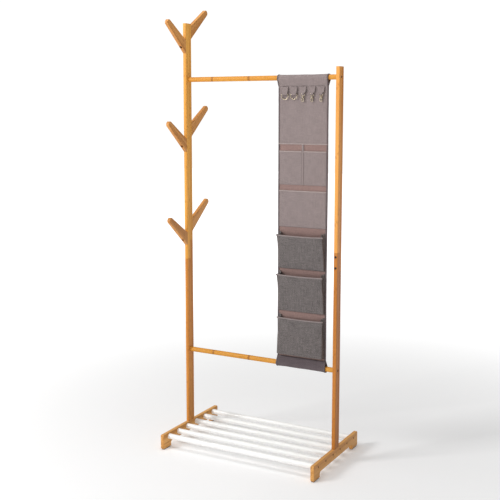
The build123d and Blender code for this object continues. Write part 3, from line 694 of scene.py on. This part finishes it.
def large_pocket(name, node, seed):
    """A deep pocket: its cut runs from gusset to gusset, and from the backing up to the mouth."""
    low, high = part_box(node)
    at_back = 1.5 * layer
    at_foot, at_mouth = reach_at(node, low.z) - layer / 2, reach_at(node, high.z) - layer / 2
    gusset = max(at_foot, at_mouth)
    front = high.x - low.x - layer
    under = at_foot
    rise = high.z - low.z
    belly = 0.0045 if at_foot > at_mouth else 0.003
    gusset_fold = 0.45 * gusset
    width, length = front + 2 * gusset, under + rise

    def shape(u, v):
        if v < under:
            quarter = v / under * pi / 2
            forward = at_back + (at_foot - at_back) * sin(quarter)
            z = low.z + foot_curve * (1 - cos(quarter))
            climb = 0.0
        else:
            climb = (v - under) / rise
            forward = at_foot + (at_mouth - at_foot) * climb
            z = low.z + foot_curve + (rise - foot_curve) * climb
        side = min(u, width - u)
        if side < gusset:
            out = side / gusset
            tuck = (0.0016 + gusset_fold * smooth_step((climb - 0.35) / 0.65)) * sin(pi * out)
            z += gusset_ear * (1 - out) * smooth_step((climb - 0.72) / 0.28)
            x = low.x + layer / 2 + tuck if u < width / 2 else high.x - layer / 2 - tuck
            return on_panel(x, z, at_back + (forward - at_back) * out)
        s = (u - gusset) / front
        lean = mouth_lean * (1 - s) ** 2 * smooth_step((climb - 0.45) / 0.55)
        x = low.x + layer / 2 + s * front - lean
        fullness = sin(pi * min(1.0, 0.12 + 0.88 * climb)) if v >= under else 0.0
        round_out = belly * sin(pi * s) ** 0.8 * fullness
        crease = noise.noise(Vector((x * 17 + z * 9, seed, z * 21 - x * 7)))
        crumple = noise.noise(Vector((x * 55, seed + 5.0, z * 42)))
        loose = smooth_step(climb / 0.25) * smooth_step(s / 0.08) * smooth_step((1 - s) / 0.08)
        rumple = (0.0013 * crease + 0.00045 * crumple) * loose
        lift = round_out + rumple + fold(under + rise - v, 0.013) * 1.2
        droop = mouth_droop * sin(pi * s) * smooth_step((climb - 0.5) / 0.5)
        return on_panel(x, z - droop, forward + lift)

    piece = cloth(name, shape, width, length, layer, heather, 0.0032, relax=2)
    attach(piece, "organiser")
    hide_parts(node)
    hem_row, foot_row = length - 0.0115, under + 0.004
    runs = [((gusset + 0.003, row), (gusset + front - 0.003, row)) for row in (hem_row, foot_row)]
    runs += [((x, foot_row), (x, length - 0.001)) for x in (gusset + 0.0032, gusset + front - 0.0032)]
    seam = sew(name + "_stitches", shape, runs, -layer / 2, heather_thread)
    mouths[name] = (lambda v, d=0.0: shape(gusset + v, length - d), front, "pocket_cloth")


for seed, level in enumerate(("top", "middle", "bottom")):
    large_pocket(f"large_pocket_{level}_cloth", f"large_pocket_{level}", 2.7 + 6.1 * seed)


# ---- organiser: bindings -------------------------------------------------------------------------
# A dark tape folded over each long edge closes the raw sides of the backing, the panel and the
# pockets. One row of stitches goes through all the layers near the tape's inner edge.
tape = fabric("dark_tape", shade(110, 99, 100), shade(92, 82, 84), 0.0006, 0.2)
tape_thread = sewing_thread("tape_thread", shade(84, 75, 77), shade(118, 108, 109))


def taped(name, edge, inward, outward, length, reach, cover, nodes, fabric=None, thread=None):
    """A tape folded round an edge: from inside one face, round the edge, to inside the other face.

    edge, inward and outward give, for a distance along the edge, its place, the way into the cloth and
    the way out of its front face. reach is half the thickness covered, and cover the tape's width.
    """
    straight = cover - reach
    width = 2 * straight + pi * reach

    def shape(u, v):
        if u < straight:
            inside, out = cover - u, reach
        elif u < width - straight:
            angle = (u - straight) / reach
            inside, out = reach - reach * sin(angle), reach * cos(angle)
        else:
            inside, out = cover - (width - u), -reach
        uneven = 0.0003 * noise.noise(Vector((v * 60, out * 900, 1.0)))
        return edge(v) + inward(v) * (inside + uneven) + outward(v) * out

    cell = 0.0016 if length < 0.3 else 0.002
    piece = cloth(name, shape, width, length, layer * 0.8, fabric or tape, cell)
    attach(piece, "organiser")
    if nodes:
        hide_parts(*nodes)
    runs = [((x, 0.002), (x, length - 0.002)) for x in (0.0014, width - 0.0014)]
    seam = sew(name + "_stitches", shape, runs, layer * 0.4, thread or tape_thread)


edge_forward = 0.5 * layer                      # middle of the layers that the tape holds
for node, x, inward_x in (("left_binding", left, 1), ("right_binding", right, -1)):
    low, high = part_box(node)
    taped(
        node + "_tape",
        lambda v, x=x, low=low: on_panel(x, low.z + v, edge_forward),
        lambda v, inward_x=inward_x: Vector((inward_x, 0, 0)),
        lambda v: Vector((0, -1, 0)),
        high.z - low.z,
        2 * layer,
        high.x - low.x,
        [node],
    )


# ---- organiser: edge tapes of the pockets and the front panel ------------------------------------
# A narrow light tape is folded over each pocket's mouth and over the front panel's lower edge, and
# sewn down with one row of stitches. It stiffens the mouths.
light_tape = fabric("light_edge_tape", shade(168, 154, 151), shade(150, 137, 134), 0.0006, 0.2)
pocket_tape = fabric("pocket_edge_tape", shade(146, 134, 132), shade(126, 116, 115), 0.0006, 0.3)
end_reach = 0.85 * layer               # half the thickness of one layer of cloth with its tape
for name, (line, length, slot) in mouths.items():
    def edge(v, line=line):
        return line(v)

    def inward(v, line=line):
        return (line(v, 0.004) - line(v)).normalized()

    def outward(v, line=line, length=length):
        along = line(min(length, v + 0.001)) - line(max(0.0, v - 0.001))
        faced = along.cross(line(v, 0.004) - line(v)).normalized()
        return faced if faced.y < 0 else -faced

    chosen = pocket_tape if slot == "pocket_cloth" else light_tape
    tape_name = name.replace("_cloth", "_edge_tape")
    taped(tape_name, edge, inward, outward, length, end_reach, 0.0048, [], chosen, canvas_thread)


# ---- organiser: sleeves --------------------------------------------------------------------------
# The organiser hangs by a canvas sleeve round the top rail, and a sleeve of darker cloth holds it to
# the lower rail. Each is a strip folded round its rail and sewn through the panel, open at both ends.
def looped(start, centre, radius, end, turn):
    """A strip's line, seen from the side: straight to a round bar, round it and straight on to the end.

    Points are distance forward and height. turn is 1 when the strip goes up the front and over.
    """
    def tangent(point, side):
        away = (point[0] - centre[0], point[1] - centre[1])
        distance = hypot(*away)
        return atan2(away[1], away[0]) + side * acos(radius / distance), (distance**2 - radius**2) ** 0.5

    first_angle, first_run = tangent(start, turn)
    last_angle, last_run = tangent(end, -turn)
    wrapped = (turn * (last_angle - first_angle)) % (2 * pi)
    length = first_run + wrapped * radius + last_run

    def on_circle(angle):
        return (centre[0] + radius * cos(angle), centre[1] + radius * sin(angle))

    def between(first, second, share):
        return (first[0] + (second[0] - first[0]) * share, first[1] + (second[1] - first[1]) * share)

    def line(v):
        if v < first_run:
            return between(start, on_circle(first_angle), v / first_run)
        if v < first_run + wrapped * radius:
            return on_circle(first_angle + turn * (v - first_run) / radius)
        return between(on_circle(last_angle), end, (v - first_run - wrapped * radius) / last_run)

    return line, length


seam_overlap = 0.002                   # how far a sleeve runs onto the backing
end_flare = 0.0011                     # how far a sleeve's open ends spread


def sleeve(name, node, turn, material):
    """A sleeve round a rail, with its taped ends. turn is 1 above the organiser and -1 below it."""
    low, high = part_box(node)
    seam_z = back_high.z if turn > 0 else back_low.z
    radius = (high.y - low.y) / 2 - layer / 2
    bar_z = high.z - radius - layer / 2 if turn > 0 else low.z + radius + layer / 2
    end_z = seam_z - turn * seam_overlap
    line, length = looped((2.6 * layer, end_z), (0, bar_z), radius, (-1.5 * layer, end_z), turn)
    width = right - left

    def shape(u, v):
        forward, z = line(v)
        open_share = min(1.0, abs(z - seam_z) / (2 * radius))
        to_end = min(u, width - u)
        splay = end_flare * smooth_step(1 - to_end / 0.045)
        slack = 0.0009 * noise.noise(Vector((u * 21, forward * 30, z * 26)))
        grow = 1 + (splay / radius + slack / radius) * smooth_step(abs(z - seam_z) / radius)
        back_pull = 0.7 if forward > 0 else 1.0
        drift_x = (u / width - 0.5) * 2 * end_flare * 2.0 * open_share * back_pull
        x = left + u + drift_x * smooth_step(abs(u / width - 0.5) * 2)
        base = (forward * grow, bar_z + (z - bar_z) * (grow if abs(z - bar_z) < radius else 1))
        return Vector((x, -base[0] - sway(left + u, seam_z) * (1 - open_share), base[1]))

    piece = cloth(name, shape, width, length, layer, material, 0.003)
    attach(piece, "organiser")
    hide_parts(node)
    runs = [((0.004, row), (width - 0.004, row)) for row in (0.0022, length - 0.0022)]
    sleeve_thread = canvas_thread if turn > 0 else tape_thread
    seam = sew(name + "_stitches", shape, runs, -turn * layer / 2, sleeve_thread)

    for side, u, inward_x in (("left", 0.0, 1), ("right", width, -1)):
        def edge(v, u=u):
            return shape(u, v)

        def outward(v, u=u):
            d = 0.0006
            along = (shape(u, min(length, v + d)) - shape(u, max(0.0, v - d))).normalized()
            return along.cross(Vector((turn, 0, 0))).normalized()

        taped(f"{name}_{side}_tape", edge, lambda v, inward_x=inward_x: Vector((inward_x, 0, 0)), outward,
              length, end_reach, 0.005, [])


sleeve("top_sleeve_cloth", "top_sleeve", 1, canvas)
band = fabric("dark_band", shade(104, 93, 96), shade(86, 76, 79), 0.0008, 0.35)
sleeve("bottom_sleeve_cloth", "bottom_sleeve", -1, band)


# ---- organiser: tabs -----------------------------------------------------------------------------
# Five straps of folded canvas are sewn to the front panel under the top sleeve. Each comes forward,
# narrows, and turns round the bar of a ring or of a clasp's eye. A doubled row of stitches holds it.
strap_thickness = layer * 0.8
bar_reach = 0.0031                      # a tab's lowest and foremost points to the middle of its loop
loop_radius = 0.0026
waist_half = 0.0108                     # half a strap's width above its loop
for number in range(1, 6):
    node = f"tab_{number}"
    low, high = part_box(node)
    tab_x = (low.x + high.x) / 2
    loop_forward, loop_z = -(low.y + bar_reach), low.z + bar_reach
    loop_half = 0.011 if number <= 2 else 0.0056
    top_half = (high.x - low.x) / 2 - 0.0006
    front_top, back_top = (4.1 * layer, high.z), (2.6 * layer, high.z)
    line, length = looped(front_top, (loop_forward, loop_z), loop_radius, back_top, -1)

    def shape(u, v, line=line, length=length):
        forward, z = line(v)
        down = smooth_step((high.z - 0.005 - z) / (high.z - 0.009 - loop_z))
        waist = top_half + (waist_half - top_half) * down
        waist += (loop_half - waist_half) * smooth_step((loop_z + 0.0080 - z) / 0.0045)
        across = (u / (2 * top_half) - 0.5) * 2
        cup = 0.0004 * across * across * down
        above = z - loop_z              # the strap's two layers are pinched together above the bar
        middle = loop_forward + (3.35 * layer - loop_forward) * above / (high.z - loop_z)
        pinch = 0.6 * smooth_step((above - 0.001) / 0.0035) * (1 - smooth_step((above - 0.007) / 0.012))
        forward = middle + (forward - middle) * (1 - pinch) + cup * (1 if v < length / 2 else -1)
        x = tab_x + across * waist
        return Vector((x, -forward - sway(x, z) * smooth_step(above / (high.z - loop_z)), z))

    piece = cloth(f"tab_{number}_strap", shape, 2 * top_half, length, strap_thickness, canvas, 0.0016)
    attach(piece, "organiser")
    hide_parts(node)
    rows = [((0.0015, r), (2 * top_half - 0.0015, r)) for r in (0.0016, 0.0085)]
    rows += [((x, 0.0016), (x, 0.0085)) for x in (0.0015, 2 * top_half - 0.0015)]
    seam = sew(f"tab_{number}_stitches", shape, rows, strap_thickness / 2, canvas_thread, 0.0028)


# ---- rings and clasps ----------------------------------------------------------------------------
# Two bent-wire rings hang in the first tabs and three small cast swivel clasps in the others, each on
# a wire eye with a riveted stud and a sprung gate. All are plated in pale nickel.
nickel_tones = (shade(186, 172, 150), shade(228, 218, 198))
nickel = metal("pale_nickel_plate", *nickel_tones, 0.2, 0.0005, Metallic=1.0)
hardware_nodes = ["ring_1", "ring_2"]
hardware_nodes += [f"clasp_{part}_{i}" for i in (1, 2, 3) for part in ("eye", "hook", "gate")]
dress(nickel, *hardware_nodes)

bare = [name for name, piece in cad.items() if not piece.hide_render and not piece.material_slots]
assert not bare, bare
